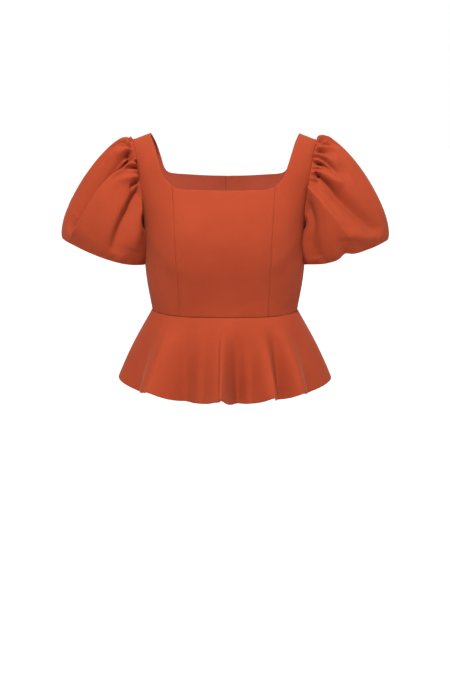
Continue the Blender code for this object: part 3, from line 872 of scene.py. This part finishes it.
def puff_sleeve(lines, swags, seed):
    """The wearer's left sleeve, from the armhole over the puff and round under its hem."""
    # Places round the sleeve, and down it, closer together near the gathers
    share = sleeve_columns()
    turn = 2 * np.pi * share
    downs = np.linspace(0, 1, 84) ** 1.15
    spread = [
        round_trip(PUFF["share"], PUFF[name], share)[:, None]
        for name in ("outward", "lifted", "leaving", "arriving", "tucked")
    ]
    outward, lifted, leaving, arriving, tucked = spread

    start = armhole_loop(share)
    middle = start.mean(0)
    away = (start - middle) * (0, 1, 1)
    away /= np.linalg.norm(away, axis=1)[:, None]
    leave = outward * (1, 0, 0) + lifted * away
    leave /= np.linalg.norm(leave, axis=1)[:, None]
    start = start + leave * SEAM_GAP

    tilt = math.radians(HEM_TILT)
    side = np.array([math.cos(tilt), 0, math.sin(tilt)])
    axis = np.array([math.sin(tilt), 0, -math.cos(tilt)])
    rim = np.cos(turn)[:, None] * side * HEM_ACROSS - np.sin(turn)[:, None] * (0, HEM_DEPTH, 0)
    drop = round_trip(swags["share"], swags["drop"], share)[:, None]
    end = np.array(HEM_MIDDLE) + rim + axis * drop
    # The puff leans on the bodice in front of the arm
    end[:, 0] -= 13 * np.exp(-(((share - 0.43) / 0.07) ** 2))
    rim_out = rim / np.linalg.norm(rim, axis=1)[:, None]
    bend = np.radians(tucked)
    arrive = axis * np.cos(bend) - rim_out * np.sin(bend)

    t = downs[:, None, None]
    grid = (
        (1 + 2 * t) * (1 - t) ** 2 * start
        + t * (1 - t) ** 2 * leaving * leave
        + t * t * (3 - 2 * t) * end
        + t * t * (t - 1) * arriving * arrive
    )
    round_it = np.concatenate([grid[:, -1:], grid, grid[:, :1]], 1)
    around = round_it[:, 2:] - round_it[:, :-2]
    normal = np.cross(around, np.gradient(grid, axis=0))
    normal /= np.linalg.norm(normal, axis=2)[:, :, None]
    down = downs[:, None]
    # The folds die away to the hem, and the gathers wander a little from straight
    fade = np.clip((1 - down) / 0.15, 0, 1)
    bent = share[None] + 0.07 * down * np.sin(47 * share[None])
    height = 1.1 * gathers(bent, down * 1.3)
    height = height + creases(share[None], down, lines) * np.clip(down / 0.05, 0, 1)
    height = height * fade * FOLD_HEIGHT + hem_puckers(share[None], down, seed)
    grid = grid + normal * height[:, :, None]
    # Its inner side is pushed forward past the bodice
    pushed = np.exp(-(((share[None] - 0.42) / 0.07) ** 2) - ((down - 0.42) / 0.28) ** 2)
    grid[:, :, 0] -= 14 * pushed

    inward = -axis * np.sin(bend) - rim_out * np.cos(bend)
    rolled = [
        end + HEM_ROLL * (arrive * math.sin(a) + inward * (1 - math.cos(a)))
        for a in np.radians(np.linspace(15, 150, 10))
    ]
    rolled += [band_ring(share, -6.0), band_ring(share)]
    return np.concatenate([[start - leave * 2.5], grid, rolled])


def band_ring(share, rise=0.0):
    """The ring round the arm where the turned-up cloth is gathered into its band."""
    turn = 2 * np.pi * np.asarray(share)[:, None]
    tilt = math.radians(HEM_TILT)
    side = np.array([math.cos(tilt), 0, math.sin(tilt)])
    axis = np.array([math.sin(tilt), 0, -math.cos(tilt)])
    band = np.cos(turn) * side * BAND_ACROSS - np.sin(turn) * (0, BAND_DEPTH, 0)
    return np.array(HEM_MIDDLE) + band - axis * (BAND_RISE + rise)


for side, lines, swags, seed in (
    ("left", CREASES_LEFT, SWAGS_LEFT, 3),
    ("right", CREASES_RIGHT, SWAGS_RIGHT, 8),
):
    grid = puff_sleeve(lines, swags, seed)
    sleeve = crepe_piece(
        f"puff_sleeve_{side}",
        [f"sleeve_{side}"],
        grid if side == "left" else mirrored(grid),
        around=True,
        smooth=0,
    )


# The sleeve bands
# Narrow doubled strips of the crepe that hold the turned-under edge of each puff round the arm.

for side in ("left", "right"):
    share = sleeve_columns()
    grid = np.stack([band_ring(share, rise) for rise in np.linspace(SEAM_GAP, BAND_HEIGHT, 7)])
    band = crepe_piece(
        f"band_{side}",
        [f"sleeve_band_{side}"],
        grid if side == "left" else mirrored(grid),
        around=True,
        smooth=0,
        thickness=1.5,
    )


# The studio
# A wide pale floor far under the top, a soft light above and in front of it, a weak one from the
# right, two wide ones that keep the floor white, and a white sky that is dimmer in front. The
# camera stands at the height and distance that the photograph was taken from.

FLOOR_LEVEL = -1.5
TOP_MIDDLE = (0, 0, -0.25)

floor_mesh = bpy.data.meshes.new("floor")
floor_corners = [(-20, -20), (20, -20), (20, 12), (-20, 12)]
floor_mesh.from_pydata([(x, y, FLOOR_LEVEL) for x, y in floor_corners], [], [(0, 1, 2, 3)])
floor = bpy.data.objects.new("floor", floor_mesh)
bpy.context.collection.objects.link(floor)
pale_vinyl = bpy.data.materials.new("pale_studio_vinyl")
pale_vinyl.use_nodes = True
pale_vinyl.node_tree.nodes["Principled BSDF"].inputs["Base Color"].default_value = hexed("#FBFBFB")
pale_vinyl.node_tree.nodes["Principled BSDF"].inputs["Roughness"].default_value = 0.9
floor_mesh.materials.append(pale_vinyl)

sky = bpy.data.worlds.new("white_sky")
sky.use_nodes = True
sky.node_tree.nodes["Background"].inputs["Color"].default_value = (1, 1, 1, 1)
# The sky above the horizon in front is dimmer than the rest, so that the softbox models the folds.
sky_direction = add_node(sky.node_tree, "ShaderNodeTexCoord").outputs["Generated"]
sky_parts = add_node(sky.node_tree, "ShaderNodeSeparateXYZ", [("Vector", sky_direction)])
from_behind = add_node(
    sky.node_tree,
    "ShaderNodeMapRange",
    [("Value", sky_parts.outputs["Y"])],
    From_Min=-0.55,
    From_Max=-0.05,
    To_Min=0.3,
    To_Max=1.0,
)
from_below = add_node(
    sky.node_tree,
    "ShaderNodeMapRange",
    [("Value", sky_parts.outputs["Z"])],
    From_Min=0.04,
    From_Max=0.0,
)
sky_strength = add_node(
    sky.node_tree,
    "ShaderNodeMath",
    [(0, from_behind.outputs["Result"]), (1, from_below.outputs["Result"])],
    operation="MAXIMUM",
)
sky.node_tree.links.new(
    sky_strength.outputs["Value"], sky.node_tree.nodes["Background"].inputs["Strength"]
)
bpy.context.scene.world = sky


def softbox(name, place, aim, size, watts):
    """A square area light at a place, turned towards its aim."""
    light = bpy.data.lights.new(name, "AREA")
    light.size = size
    light.energy = watts
    lamp = bpy.data.objects.new(name, light)
    bpy.context.collection.objects.link(lamp)
    lamp.location = place
    ray = mathutils.Vector(aim) - mathutils.Vector(place)
    lamp.rotation_euler = ray.to_track_quat("-Z", "Y").to_euler()


softbox("key_softbox", (-0.28, -1.8, 2.15), TOP_MIDDLE, 0.6, 186)
softbox("fill_softbox", (1.9, -1.5, 0.5), TOP_MIDDLE, 0.9, 17)
softbox("floor_light", (0, 7.5, 3.0), (0, 7.5, FLOOR_LEVEL), 12.0, 280)
softbox("front_floor_light", (0, -10.0, 3.0), (0, -10.0, FLOOR_LEVEL), 12.0, 150)

CAMERA_AZIMUTH = 1.5
CAMERA_ELEVATION = 11.0
CAMERA_DISTANCE = 3.1
METRES_PER_PIXEL = 0.00193
AIM_PIXEL = (224.8, 262.35)
PICTURE_WIDTH, PICTURE_HEIGHT = 450, 675
SENSOR_HEIGHT = 36.0

azimuth, elevation = math.radians(CAMERA_AZIMUTH), math.radians(CAMERA_ELEVATION)
back = mathutils.Vector(
    (
        math.sin(azimuth) * math.cos(elevation),
        -math.cos(azimuth) * math.cos(elevation),
        math.sin(elevation),
    )
)
camera_data = bpy.data.cameras.new("camera")
camera_data.sensor_fit = "VERTICAL"
camera_data.sensor_height = SENSOR_HEIGHT
camera_data.lens = CAMERA_DISTANCE / METRES_PER_PIXEL * SENSOR_HEIGHT / PICTURE_HEIGHT
camera_data.shift_x = (PICTURE_WIDTH / 2 - AIM_PIXEL[0]) / PICTURE_HEIGHT
camera_data.shift_y = (AIM_PIXEL[1] - PICTURE_HEIGHT / 2) / PICTURE_HEIGHT
camera = bpy.data.objects.new("camera", camera_data)
bpy.context.collection.objects.link(camera)
camera.location = mathutils.Vector(TOP_MIDDLE) + back * CAMERA_DISTANCE
camera.rotation_euler = (-back).to_track_quat("-Z", "Y").to_euler()
bpy.context.scene.camera = camera
bpy.context.scene.view_settings.view_transform = "Standard"
